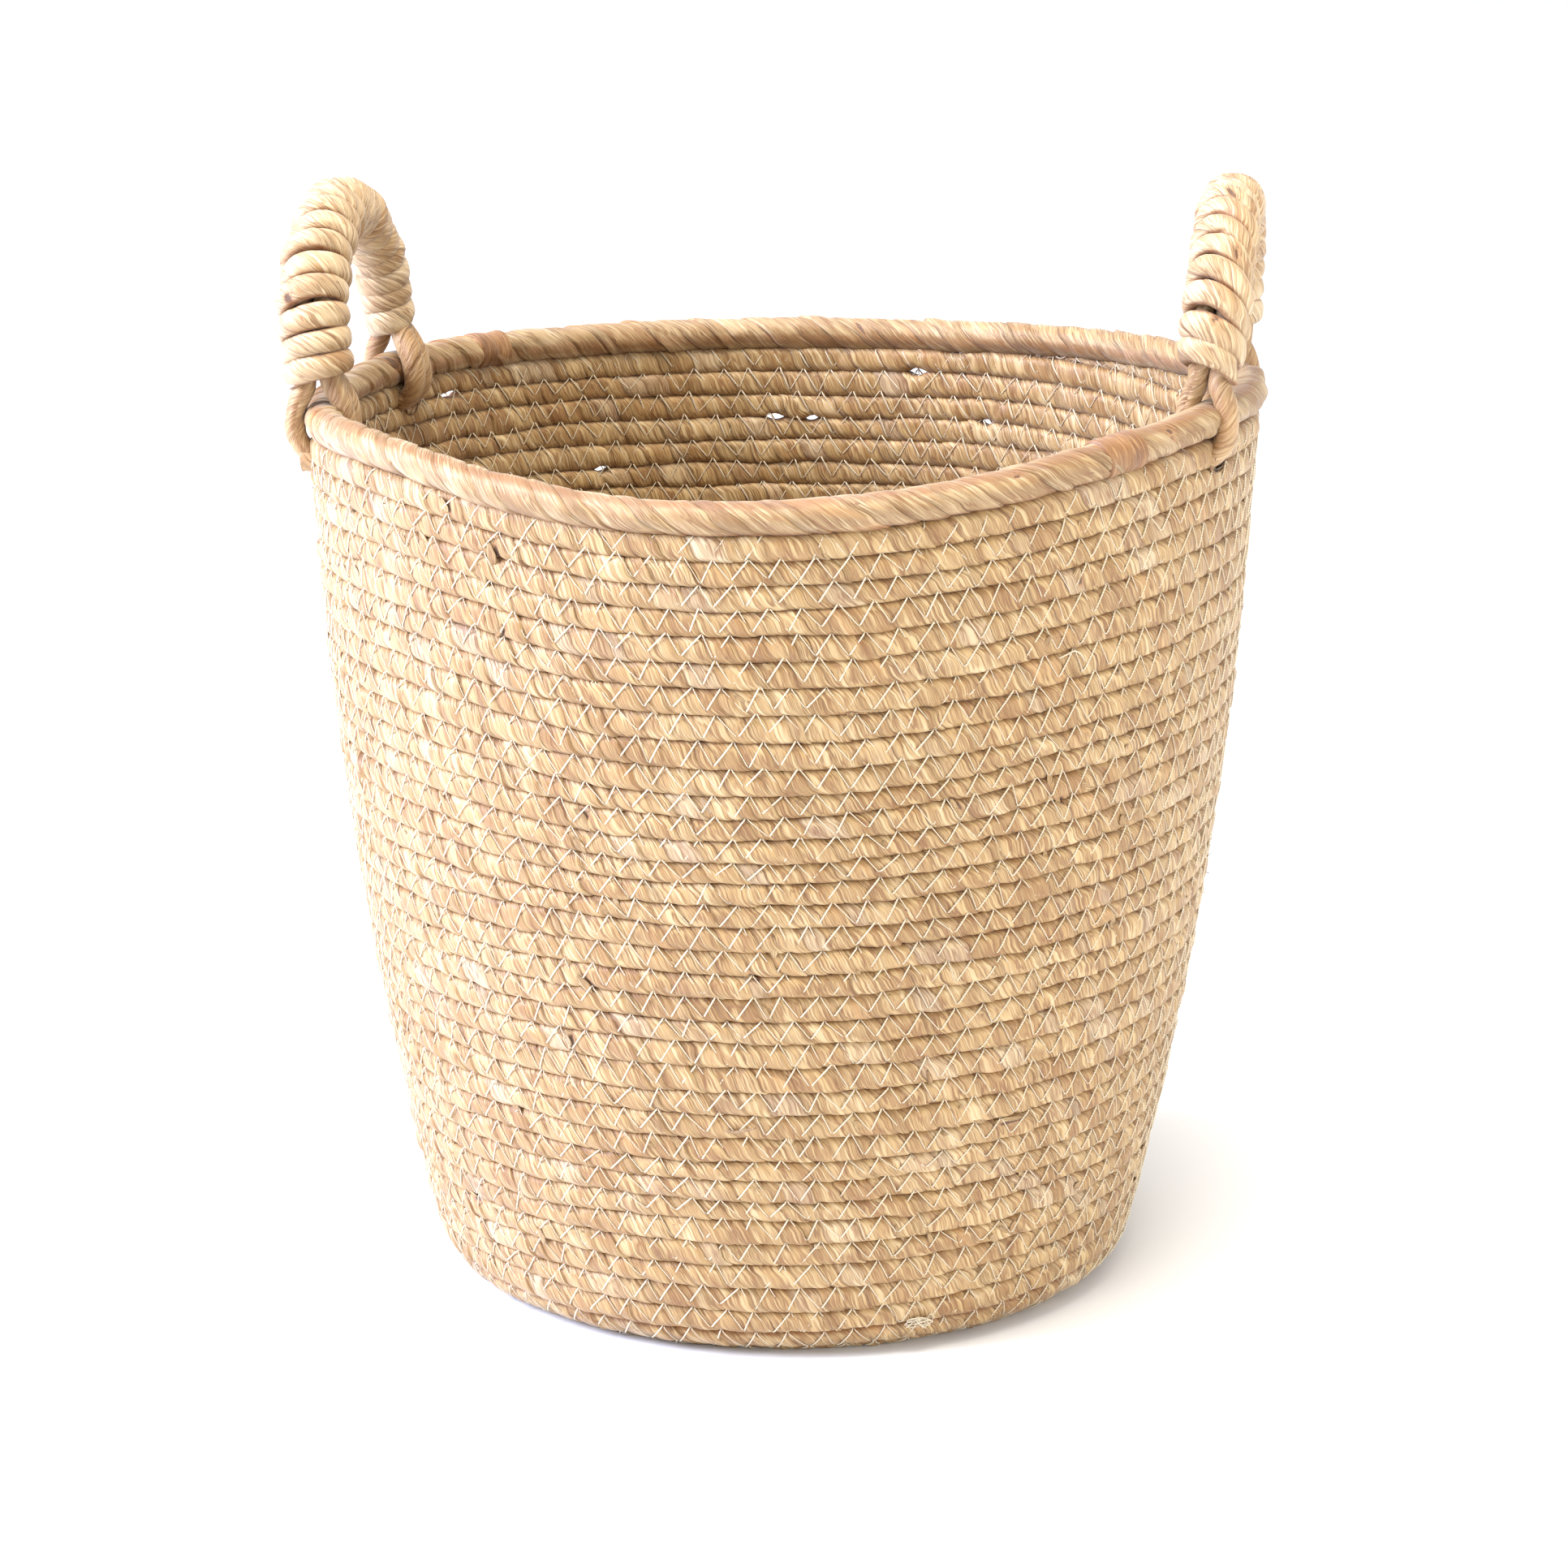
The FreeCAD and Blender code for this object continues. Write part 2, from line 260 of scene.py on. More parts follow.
class Coil(Route):
    """The rope's centre line, from the middle of the base to the tail under the rim."""

    def __init__(self):
        self.turn = np.arange(-0.25, LAST_TURN + 0.6, 1 / 900)
        low = seam(self.turn - 1) + gap_width(self.turn - 1)
        high = seam(self.turn) - gap_width(self.turn)
        self.middle = (low + high) / 2
        half = np.maximum((high - low) / 2 * PRESSED, 0.3)
        radius, height, out_r, out_z = OUTLINE.at(np.maximum(self.middle, 0.0))
        angle = pi / 2 + TAU * self.turn
        cos, sin = np.cos(angle), np.sin(angle)
        stretched = 1 + rise(angle, height + 0.5) - rise(angle, height - 0.5)
        centre = np.stack([radius * cos, radius * sin, height + rise(angle, height)], -1)
        out = np.stack([out_r * cos, out_r * sin, out_z], -1)
        walked = radius * self.turn * TAU
        thick = 1 + 0.07 * wander(13, walked / 60) + 0.03 * wander(14, walked / 17)
        self.depth = ROPE_R * 1.04 * thick * np.minimum(half / (ROPE_R * 0.9), 1.0) ** 0.5
        super().__init__(centre, out, self.depth, half * stretched)
        self.half = half

    def length_at(self, turn):
        return float(np.interp(turn, self.turn, self.length))

    def surface(self, turn, distance):
        """How far the rope stands out from the outline, beside the seam above a turn."""
        reach = np.zeros(np.shape(distance))
        for row in (turn, turn + 1):
            middle, half, depth = (np.interp(row, self.turn, values)
                                   for values in (self.middle, self.half, self.depth))
            across = np.clip(np.abs(distance - middle) / half, 0, 1)
            reach = np.maximum(reach, depth * (1 - across ** SQUARENESS) ** (1 / SQUARENESS))
        return reach

    def __call__(self, length, angles):
        centre, out, up, depth, half, _ = super().__call__(length)
        turn = np.interp(length, self.length, self.turn)
        middle = np.interp(turn, self.turn, self.middle)
        distance = middle + half * np.sin(angles)
        pull = 0.45 * STITCHES.nearness(turn, distance) + 0.3 * STITCHES.nearness(turn - 1, distance)
        return centre, out, up, depth, half, pull * (np.abs(np.cos(angles)) > 0.15)


COIL = Coil()


# ---- Stitches: needle holes alternately just above a seam and well down the round below it
class Stitches:
    def __init__(self):
        turn = COIL.turn
        radius = np.linalg.norm(COIL.table[:, :2], axis=1)
        walked = np.concatenate([[0.0], np.cumsum((radius[1:] + radius[:-1]) / 2 * np.diff(turn) * TAU)])
        count = int(walked[-1] / STITCH)
        number = np.arange(count)
        place = (number + 0.24 * scatter(21, number)) * STITCH
        self.turn = np.interp(place, walked, turn)
        self.is_top = number % 2 == 0
        line = seam(self.turn)
        depth = 0.76 + 0.12 * scatter(22, number) + 0.12 * wander(23, number / 9.0)
        height = line - seam(self.turn - 1)
        top = line + 1.9 + 0.9 * scatter(24, number) + 0.6 * wander(27, number / 7.0)
        self.distance = np.where(self.is_top, np.minimum(top, TOP_SEAM + 1.4), line - depth * height)

    def nearness(self, turn, distance):
        """1 on the thread's line along the seam above a turn, falling to 0 beside it."""
        thread = np.interp(turn, self.turn, self.distance)
        return np.exp(-((distance - thread) * 0.62 / 0.8) ** 2)


STITCHES = Stitches()


def section(angle, squareness):
    """Share of the depth and of the half height at an angle round a rope's section."""
    cos, sin = np.cos(angle), np.sin(angle)
    power = 2 / squareness
    return np.sign(cos) * np.abs(cos) ** power, np.sign(sin) * np.abs(sin) ** power


# ---- Meshes
def new_object(name, data):
    thing = bpy.data.objects.new(name, data)
    bpy.context.scene.collection.objects.link(thing)
    return thing


def new_mesh(name, points, faces, material, smooth=True):
    """A mesh object from points in millimetres and an array of faces that all have as many corners."""
    points = points.reshape(-1, 3)
    mesh = bpy.data.meshes.new(name)
    corners = faces.shape[1]
    mesh.vertices.add(len(points))
    mesh.vertices.foreach_set("co", (points * MM).astype(np.float32).ravel())
    mesh.loops.add(faces.size)
    mesh.loops.foreach_set("vertex_index", faces.astype(np.int32).ravel())
    mesh.polygons.add(len(faces))
    mesh.polygons.foreach_set("loop_start", np.arange(0, faces.size, corners, dtype=np.int32))
    mesh.polygons.foreach_set("use_smooth", np.full(len(faces), smooth))
    mesh.update(calc_edges=True)
    mesh.validate()
    mesh.materials.append(material)
    return new_object(name, mesh)


def grid_faces(rows, columns, closed=False):
    index = np.arange(rows * columns).reshape(rows, columns)
    if closed:
        index = np.concatenate([index, index[:, :1]], 1)
    corners = [index[:-1, :-1], index[1:, :-1], index[1:, 1:], index[:-1, 1:]]
    return np.stack(corners, -1).reshape(-1, 4)


def ribbon_uv(piece, rows, columns, strips):
    """Lays the grid out as strips one above the other in the unit square, so that none overlap."""
    cells_long = math.ceil((rows - 1) / strips)
    i, j = np.meshgrid(np.arange(rows - 1), np.arange(columns - 1), indexing="ij")
    strip = i // cells_long
    start = (i - strip * cells_long) / cells_long
    left, right = start, start + 1 / cells_long
    low, high = j / (columns - 1), (j + 1) / (columns - 1)
    margin = 0.03
    u = np.stack([left, right, right, left], -1) * (1 - 2 * margin) + margin
    v = (np.stack([low, low, high, high], -1) * (1 - 2 * margin) + margin + strip[..., None]) / strips
    layer = piece.data.uv_layers.new(name="OFBake")
    layer.data.foreach_set("uv", np.stack([u, v], -1).astype(np.float32).ravel())


def point_values(piece, name, values):
    """Stores one number or one vector for each of the mesh's points."""
    many = values.size > len(piece.data.vertices)
    attribute = piece.data.attributes.new(name, "FLOAT_VECTOR" if many else "FLOAT", "POINT")
    attribute.data.foreach_set("vector" if many else "value", values.astype(np.float32).ravel())


def husk_rope(name, place, first, last, lead, husks, seed, material, bulge=0.8, radius=ROPE_R,
              around=AROUND, across=ACROSS, squareness=SQUARENESS, scars=()):
    """Rope made of husk wound round it at a slant, from one husk's edge to another's.

    place(length, angle) gives the rope's centre, outward and upward directions, depth, half height and
    how far a stitch pulls it in. Rows of the mesh follow the husk's edges, so the edges stay sharp.
    """
    spacing = lead / husks
    edges = np.arange(first, last + 1)
    tuck = 0.25
    angle = np.linspace(-pi / 2 - tuck, 3 * pi / 2 + tuck, around + 1)

    def edge_line(edge):
        """Lengths along the rope where a husk's edge passes each angle round it."""
        at = (edge + 0.38 * scatter(seed, edge)) * spacing
        slant = lead * (1 + 0.16 * wander(seed + 1, edge / 2.7)) / TAU
        waver = 0.07 * spacing * wander(seed + 2, edge[:, None] * 7.7, angle[None] * 1.6)
        return at[:, None] - slant[:, None] * (angle[None] - pi * 0.5) + waver

    lines = edge_line(edges)
    share = np.array(across)
    husk = (edges[:-1, None] + share[None]).reshape(-1)
    length = lines[:-1, None] * (1 - share[None, :, None]) + lines[1:, None] * share[None, :, None]
    length = np.concatenate([length.reshape(-1, around + 1), lines[-1:]])
    husk = np.append(husk, edges[-1])
    whole = np.floor(husk + 1e-6)
    part = np.maximum(husk - whole, 0.0)[:, None]
    angles = np.broadcast_to(angle, length.shape)

    size = radius / ROPE_R
    swell = (0.75 + 0.35 * scatter(seed + 3, whole))[:, None]
    lift = (0.65 + 1.6 * np.maximum(scatter(seed + 4, whole), 0.0) ** 2)[:, None]
    lift = lift * (0.55 + 0.6 * wander(seed + 5, whole[:, None] * 3.3, angles * 1.3))
    height = bulge * size * (swell * np.sin(pi * part) ** 0.75 * 0.8 + lift * part ** 2 - 0.35)
    bumps = [(0.16, 6, husk[:, None] * 3.1, 0.9), (0.36, 7, length / (9 * size), 1.2),
             (0.12, 9, husk[:, None] * 6.3, 1.7), (0.22, 8, length / (37 * size), 0.8)]
    for rough, dice, along, turns in bumps:
        height = height + rough * size * wander(seed + dice, along, angles * turns)

    centre, out, up, depth, half, pull = place(length, angles)
    share_out, share_up = section(angles, squareness)
    about = centre + out * (share_out * depth)[..., None] + up * (share_up * half)[..., None]
    scar = scarred(about, scars)
    height = height - 1.1 * scar
    ends = ease(np.abs(angles - pi / 2) / pi * 20 - 19)
    grown = (height - pull) * (1 - 0.8 * ends) - 0.35 * ends
    depth, half = depth[..., None], half[..., None]
    cos, sin = np.cos(angles)[..., None], np.sin(angles)[..., None]
    points = centre + out * (share_out[..., None] * depth + cos * grown[..., None])
    points = points + up * (share_up[..., None] * half + sin * grown[..., None] * 0.6)
    points[..., 2] = np.maximum(points[..., 2], 0.03)

    rows, columns = length.shape
    piece = new_mesh(name, points, grid_faces(rows, columns), material)
    ribbon_uv(piece, rows, columns, 8)
    husk_values = np.broadcast_to(husk[:, None], length.shape)
    facing = np.broadcast_to(angles * radius, length.shape)
    point_values(piece, "husk", np.stack([husk_values, length, facing], -1))
    if scar.any():
        point_values(piece, "scar", scar)
    return piece


def scarred(points, scars):
    """How deep points lie in long narrow scars, from 0 to 1.

    Each scar is a place, slant, length, width and bend.
    """
    deep = np.zeros(points.shape[:-1])
    for (point, out, ahead, up), slant_deg, length, width, bend in scars:
        slant = radians(slant_deg)
        way = ahead * math.cos(slant) + up * math.sin(slant)
        moved = points - point
        along = moved @ way / (length / 2)
        across = moved @ np.cross(out, way) / (width / 2) + bend * (along ** 2 - 0.4)
        deep = np.maximum(deep, np.exp(-1.1 * (along ** 2 + across ** 2 + (moved @ out / 3.0) ** 2)))
    return np.where(deep > 0.03, deep, 0.0)


def tube(name, route, material, radius, outward, sides=5):
    """A thin round thread along a route, with its rings squared up to an outward direction."""
    ahead = unit(np.gradient(route, axis=0))
    side = unit(np.cross(ahead, outward))
    lift = np.cross(side, ahead)
    angle = np.arange(sides) * TAU / sides
    radius = np.broadcast_to(radius, (len(route),))[:, None, None]
    rings = route[:, None] + radius * (np.cos(angle)[None, :, None] * lift[:, None]
                                       - np.sin(angle)[None, :, None] * side[:, None])
    piece = new_mesh(name, rings, grid_faces(len(route), sides, closed=True), material)
    values = np.zeros((len(route), sides, 3))
    values[..., 0], values[..., 1] = walk(route)[:, None], angle[None]
    point_values(piece, "husk", values)
    return piece


# ---- Materials
class Nodes:
    """Short ways to add and join shader nodes."""

    def __init__(self, name):
        self.material = bpy.data.materials.new(name)
        self.material.use_nodes = True
        self.tree = self.material.node_tree
        self.shader = self.tree.nodes["Principled BSDF"]

    def put(self, socket, value):
        """Joins or sets an input. A colour is written as red, green and blue."""
        if hasattr(value, "is_output"):
            self.tree.links.new(value, socket)
        else:
            socket.default_value = (*value, 1.0) if isinstance(value, tuple) else value

    def add(self, kind, inputs=(), **settings):
        node = self.tree.nodes.new("ShaderNode" + kind)
        for key, value in settings.items():
            setattr(node, key, value)
        for key, value in dict(inputs).items():
            self.put(node.inputs[key], value)
        return node

    def math(self, operation, *values):
        return self.add("Math", dict(enumerate(values)), operation=operation).outputs[0]

    def plus(self, a, b):
        return self.math("ADD", a, b)

    def minus(self, a, b):
        return self.math("SUBTRACT", a, b)

    def times(self, a, b):
        return self.math("MULTIPLY", a, b)

    def mix(self, share, a, b):
        return self.add("Mix", {0: share, 6: a, 7: b}, data_type="RGBA").outputs[2]

    def between(self, value, low, high, to_low=0.0, to_high=1.0):
        inputs = {"Value": value, "From Min": low, "From Max": high, "To Min": to_low, "To Max": to_high}
        return self.add("MapRange", inputs, interpolation_type="SMOOTHSTEP").outputs["Result"]

    def noise(self, vector, detail, rough=0.5):
        inputs = {"Vector": vector, "Scale": 1.0, "Detail": detail, "Roughness": rough}
        return self.add("TexNoise", inputs).outputs["Fac"]

    def vector(self, x, y, z):
        return self.add("CombineXYZ", {0: x, 1: y, 2: z}).outputs[0]

    def dice(self, value, seed):
        shifted = self.plus(value, seed)
        return self.add("TexWhiteNoise", {"W": shifted}, noise_dimensions="1D").outputs["Value"]

    def husk_values(self):
        values = self.add("Attribute", attribute_name="husk").outputs["Vector"]
        return self.add("SeparateXYZ", {0: values}).outputs

    def surface(self, height, strength, distance, **inputs):
        """Sets the shader's inputs, adds a bump from a height, and gives the material."""
        bump = self.add("Bump", {"Strength": strength, "Distance": distance * MM, "Height": height})
        self.put(self.shader.inputs["Normal"], bump.outputs[0])
        self.shade(**inputs)
        return self.material

    def shade(self, **inputs):
        for key, value in inputs.items():
            self.put(self.shader.inputs[key.replace("_", " ")], value)


# Scar colours: the nearly black middle is brown husk darkened further by painted shade of the split's
# hollow; the edge colour is the husk's own brown
SCAR_BROWN_HOLLOW_SHADE = (0.09, 0.038, 0.015)
SCAR_EDGE = (0.36, 0.19, 0.08)


def husk_material(name, seed, deep, straw, cream, groove_shade_amount, brown, fibre_scale, spread, grain):
    """Dry maize husk: long fine fibres, each husk its own shade, a few brown scars, and painted shade at
    husk edges, in grooves and in scar hollows.

    groove_shade_amount is how much painted shade darkens the grooves where rounds meet, brown is how much
    brown lies on whole husks, fibre_scale is fibres in a husk, spread is how far the husks' shades lie
    apart and grain is how strong the fibres are.
    """
    n = Nodes(name)
    husk, length, facing = n.husk_values()
    whole = n.math("FLOOR", n.plus(husk, 0.0001))
    part = n.minus(husk, whole)
    shade = n.dice(whole, seed + 0.37)
    warmth = n.dice(whole, seed + 31.7)

    def streaks(across, along, layer, detail, rough=0.5):
        """Noise drawn out along the husk, with so many cells across a husk and so many in a millimetre."""
        return n.noise(n.vector(n.times(husk, across), n.times(facing, along), layer), detail, rough)

    layer = n.times(shade, 40.0)
    fibre = streaks(fibre_scale, 0.055, layer, 4.0, 0.62)
    strand = streaks(fibre_scale * 0.42, 0.10, layer, 1.5)
    band = streaks(2.2, 0.09, warmth, 2.0)
    patch = n.noise(n.vector(n.times(length, 0.009), n.times(facing, 0.02), seed), 3.0)

    tone = n.plus(n.times(shade, spread), n.times(fibre, 0.95 * grain))
    for noise, share in ((strand, 0.8 * grain), (band, 0.35), (patch, 0.5)):
        tone = n.plus(tone, n.times(n.minus(noise, 0.5), share))
    tone = n.plus(tone, 0.345 - 0.475 * grain)
    colour = n.mix(n.between(tone, 0.16, 0.56), deep, straw)
    colour = n.mix(n.between(tone, 0.44, 0.88), colour, cream)

    grey = n.between(n.dice(whole, seed + 77.1), 0.86, 0.99, 0.0, 0.25)
    colour = n.mix(grey, colour, (0.60, 0.53, 0.42))
    tan = n.times(n.between(warmth, 1.0 - brown, 1.0), n.between(band, 0.42, 0.66))
    colour = n.mix(n.times(tan, 0.5), colour, (0.42, 0.21, 0.07))

    ridge = n.math("ABSOLUTE", n.minus(strand, 0.5))
    lines = n.times(n.between(ridge, 0.0, 0.085, 1.0, 0.0), n.between(band, 0.35, 0.65, 1.0, 0.4))
    colour = n.mix(n.times(lines, 0.35 + 0.45 * grain), colour, (0.17, 0.062, 0.014))
    colour = n.mix(n.between(fibre, 0.32, 0.46, 0.85 * grain, 0.0), colour, (0.20, 0.085, 0.02))

    # Painted shade: very dark brown along the start of each husk, in the crease under the raised edge of
    # the husk before
    edge = n.times(n.between(part, 0.0, 0.11, 1.0, 0.0), n.between(fibre, 0.35, 0.6, 0.45, 1.0))
    edge = n.times(edge, n.between(warmth, 0.0, 1.0, 0.35, 1.0))
    colour = n.mix(n.times(edge, 0.9), colour, (0.13, 0.047, 0.012))
    speck = streaks(2.3, 0.33, seed, 1.0)
    colour = n.mix(n.between(speck, 0.755, 0.80, 0.0, 0.75), colour, (0.16, 0.07, 0.028))
    # Scars: a brown rim in the husk's own colour, then a nearly black middle that is brown husk plus
    # painted shade of the split's hollow; worn here is the scar's depth
    scar = n.add("Attribute", attribute_name="scar").outputs["Fac"]
    worn = n.times(scar, n.plus(n.times(fibre, 1.4), 0.3))
    colour = n.mix(n.between(worn, 0.18, 0.34, 0.0, 0.75), colour, SCAR_EDGE)
    colour = n.mix(n.between(worn, 0.40, 0.60, 0.0, 0.9), colour, SCAR_BROWN_HOLLOW_SHADE)

    # Painted shade: darker warm brown at the top and bottom of the rope's section, in the grooves where
    # rounds meet
    groove_shade_mask = n.math("ABSOLUTE", n.math("SINE", n.math("DIVIDE", facing, ROPE_R)))
    groove_shade_mask = n.times(n.between(groove_shade_mask, 0.80, 0.99, 0.0, groove_shade_amount), n.between(band, 0.3, 0.7, 0.5, 1.0))
    colour = n.mix(groove_shade_mask, colour, (0.22, 0.075, 0.014))

    relief = n.plus(n.times(fibre, 0.6), n.times(strand, 0.9))
    relief = n.minus(relief, n.times(lines, 0.35))
    return n.surface(relief, 0.9, 0.55, Base_Color=colour, Roughness=0.5, Specular_IOR_Level=0.5,
                     Sheen_Weight=0.15, Sheen_Roughness=0.5)


def thread_material():
    """Cream cotton sewing thread with its ply showing as fine slanting stripes."""
    n = Nodes("sewing_thread")
    walked, angle, _ = n.husk_values()
    ply = n.math("SINE", n.plus(n.times(walked, 5.2), angle))
    worn = n.noise(n.vector(n.times(walked, 0.08), 0.0, 3.0), 2.0)
    colour = n.mix(n.between(ply, -1.0, 1.0), (0.50, 0.41, 0.27), (0.74, 0.66, 0.50))
    colour = n.mix(n.between(worn, 0.35, 0.7, 0.0, 0.35), colour, (0.62, 0.52, 0.38))
    return n.surface(ply, 0.5, 0.08, Base_Color=colour, Roughness=0.7, Sheen_Weight=0.2)


# Each husk: name, seed, its dark, middle and pale colours, then groove_shade_amount (painted shade in the
# grooves), brown, fibre_scale, spread, grain.
COIL_HUSK, RIM_HUSK, HANDLE_HUSK, STRAND_HUSK, SPLICE_HUSK = (husk_material(*looks) for looks in (
    ("coil_husk", 3.0, (0.27, 0.14, 0.042), (0.45, 0.30, 0.125), (0.60, 0.465, 0.27),
     0.85, 0.12, 17.0, 0.17, 1.0),
    ("rim_husk", 7.0, (0.24, 0.13, 0.045), (0.40, 0.275, 0.13), (0.55, 0.435, 0.28),
     0.6, 0.2, 26.0, 0.2, 0.9),
    ("handle_husk", 13.0, (0.33, 0.18, 0.065), (0.56, 0.415, 0.235), (0.68, 0.57, 0.40),
     0.95, 0.10, 24.0, 0.16, 0.7),
    ("strand_husk", 17.0, (0.29, 0.15, 0.05), (0.47, 0.31, 0.15), (0.62, 0.48, 0.29),
     0.4, 0.10, 18.0, 0.16, 0.6),
    ("splice_husk", 23.0, (0.13, 0.05, 0.012), (0.25, 0.115, 0.034), (0.42, 0.24, 0.095),
     0.1, 0.3, 26.0, 0.22, 1.0),
))
THREAD = thread_material()


# ---- The basket: coil, rim, splices
def finish_piece(piece, body, slot, *nodes):
    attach(piece, body)
    if nodes:
        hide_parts(*nodes)
    return piece


def make_coil():
    """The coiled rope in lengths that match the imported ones, each in two pieces on the wall."""
    spacing = ROPE_LEAD / ROPE_HUSKS
    plain = {"around": 22, "across": ACROSS[::2]}
    scarred_wall = {"scars": [(wall_place(*spot[:2]), *spot[2:5], 0.5) for spot in WALL_SCARS]}
    lengths = [("base_coil_inner", "", 0.02, 6.0, plain), ("base_coil_outer", "", 6.0, BASE_ROUNDS, plain)]
    turns = np.linspace(BASE_ROUNDS, LAST_TURN, 2 * WALL_LENGTHS + 1)
    for number, (first, last) in enumerate(zip(turns, turns[1:])):
        lengths.append((f"wall_coil_{number // 2 + 1}", "ab"[number % 2], first, last, scarred_wall))
    for node, half, first, last, settings in lengths:
        husks = [round(COIL.length_at(turn) / spacing) for turn in (first, last)]
        piece = husk_rope(f"husk_{node}{half}", COIL, *husks, ROPE_LEAD, ROPE_HUSKS, 100, COIL_HUSK,
                          **settings)
        finish_piece(piece, "basket", "coil_husk", node)


def make_base_knot():
    """The rope's folded start, which fills the middle of the base."""
    x = np.linspace(-10.0, 11.0, 40)
    centre = np.stack([x, 0 * x, 4.9 + 0 * x], -1)
    route = Route(centre, np.tile([0.0, 0.0, 1.0], (len(x), 1)), 4.1, 3.9)
    piece = husk_rope("husk_base_knot", route, 2, 5, 6.0, 2, 95, COIL_HUSK, bulge=0.35, around=22)
    finish_piece(piece, "basket", "coil_husk")


def ring_route(first_deg, sweep_deg, depth, half):
    """Round the middle of the rim rope, which wanders a little as a hand-made one does."""
    angle = np.radians(np.linspace(first_deg, first_deg + sweep_deg, int(sweep_deg * 4) + 2))
    wave = angle / TAU * 9
    radius = RIM_R + 1.1 * wander(31, wave, wrap=9)
    height = RIM_Z + rise(angle, RIM_Z) + 0.8 * wander(32, wave, wrap=9) - 0.3
    cos, sin = np.cos(angle), np.sin(angle)
    centre = np.stack([radius * cos, radius * sin, height], -1)
    out = np.stack([cos, sin, np.zeros_like(cos)], -1)
    thick = 1 + 0.05 * wander(33, angle / TAU * 30, wrap=30)
    return Route(centre, out, depth * thick, half * thick)


def make_rim():
    route = ring_route(FRONT_SPLICE_DEG - 11, 387, RIM_ROPE_R * 0.99, RIM_ROPE_R * 0.97)
    last = int(TAU * RIM_R * RIM_HUSKS / RIM_LEAD) + 4
    piece = husk_rope("husk_rim_rope", route, 2, last, RIM_LEAD, RIM_HUSKS, 300,
                      RIM_HUSK, bulge=1.05, radius=RIM_ROPE_R, around=AROUND + 6, squareness=2.0,
                      scars=[(rim_place(*spot[:2]), *spot[2:]) for spot in RIM_SCARS])
    finish_piece(piece, "basket", "rim_husk", "rim_rope")


def make_splice(node, middle_deg, seed, width):
    """A husk band bound round the rim rope, with its ends tucked under."""
    sweep = math.degrees(width / RIM_R)
    route = ring_route(middle_deg - sweep / 2, sweep, RIM_ROPE_R, RIM_ROPE_R)
    rows, columns = 60, 64
    part = np.linspace(0, 1, rows)[:, None]
    angle = np.linspace(radians(-75), radians(255), columns)[None]
    slant = 5.0 * (angle - pi / 2) / pi
    length = part * route.length[-1] * 0.8 + route.length[-1] * 0.1 - slant * 0.5
    centre, out, up, depth, half, _ = route(length + 0 * angle)
    fold = 0.35 * wander(seed, part * 5.5 + angle * 0.2, angle * 0.7)
    fold = fold + 0.2 * wander(seed + 1, part * 15, angle)
    tucked = ease(part / 0.06) * ease((1 - part) / 0.08)
    lift = -0.8 + 1.75 * tucked + fold * tucked
    reach = (depth + lift)[..., None]
    cos, sin = np.cos(angle)[..., None], np.sin(angle)[..., None]
    points = centre + out * cos * reach + up * sin * reach
    piece = new_mesh(f"husk_{node}", points, grid_faces(rows, columns), SPLICE_HUSK)
    ribbon_uv(piece, rows, columns, 1)
    values = np.stack(np.broadcast_arrays(part * 1.6 + seed, length, angle * RIM_ROPE_R), -1)
    point_values(piece, "husk", values)
    finish_piece(piece, "basket", "rim_husk", node)


# ---- Sewing thread
def stitch_route(side, first, last):
    """The zigzag from needle hole to needle hole, lying on the rope on one side of it."""
    numbers = np.arange(first, last)
    share = np.array([0.0, 0.10, 0.28, 0.5, 0.72, 0.90])
    holes = []
    for number in (numbers, numbers + 1):
        hole = STITCHES.turn[number][:, None], STITCHES.distance[number][:, None]
        holes.append((*hole, COIL.surface(*hole)))
    turn, distance, taut = (start + (end - start) * share for start, end in zip(*holes))
    reach = COIL.surface(turn, distance)
    climbs = ~STITCHES.is_top[numbers][:, None]
    sunk = np.where(climbs, UP_SUNK, DOWN_SUNK) + 0.25 * scatter(26, numbers)[:, None]
    out = np.maximum(taut, reach - sunk) + THREAD_R * 0.9
    dipped = np.exp(-(share / 0.06) ** 2) + np.exp(-((1 - share) / 0.06) ** 2)
    out = out - 1.3 * dipped
    radius = np.where(climbs, UP_R, DOWN_R) + 0 * share
    place, height, out_r, out_z = OUTLINE.at(distance)
    place, height = place + side * out * out_r, height + side * out * out_z
    angle = pi / 2 + TAU * turn
    cos, sin = np.cos(angle), np.sin(angle)
    height = np.maximum(height + rise(angle, height), 0.35)
    route = np.stack([place * cos, place * sin, height], -1)
    outward = side * np.stack([out_r * cos, out_r * sin, out_z], -1)
    return route.reshape(-1, 3), outward.reshape(-1, 3), radius.reshape(-1)


def make_stitches():
    total = len(STITCHES.turn) - 1
    base, wall = (1.5, BASE_ROUNDS, 1), (BASE_ROUNDS, LAST_TURN - 0.02, 4)
    seams = [("base_seam_under", base, 1), ("base_seam_upper", base, -1),
             ("wall_seam_outside", wall, 1), ("wall_seam_inside", wall, -1)]
    for node, (low, high, lengths), side in seams:
        stops = np.searchsorted(STITCHES.turn, np.linspace(low, high, lengths + 1))
        for number, (first, last) in enumerate(zip(stops, stops[1:])):
            route, outward, radius = stitch_route(side, first, min(last, total))
            piece = tube(f"thread_{node}_{number + 1}", route, THREAD, radius, outward)
            finish_piece(piece, "basket", "sewing_thread", node)


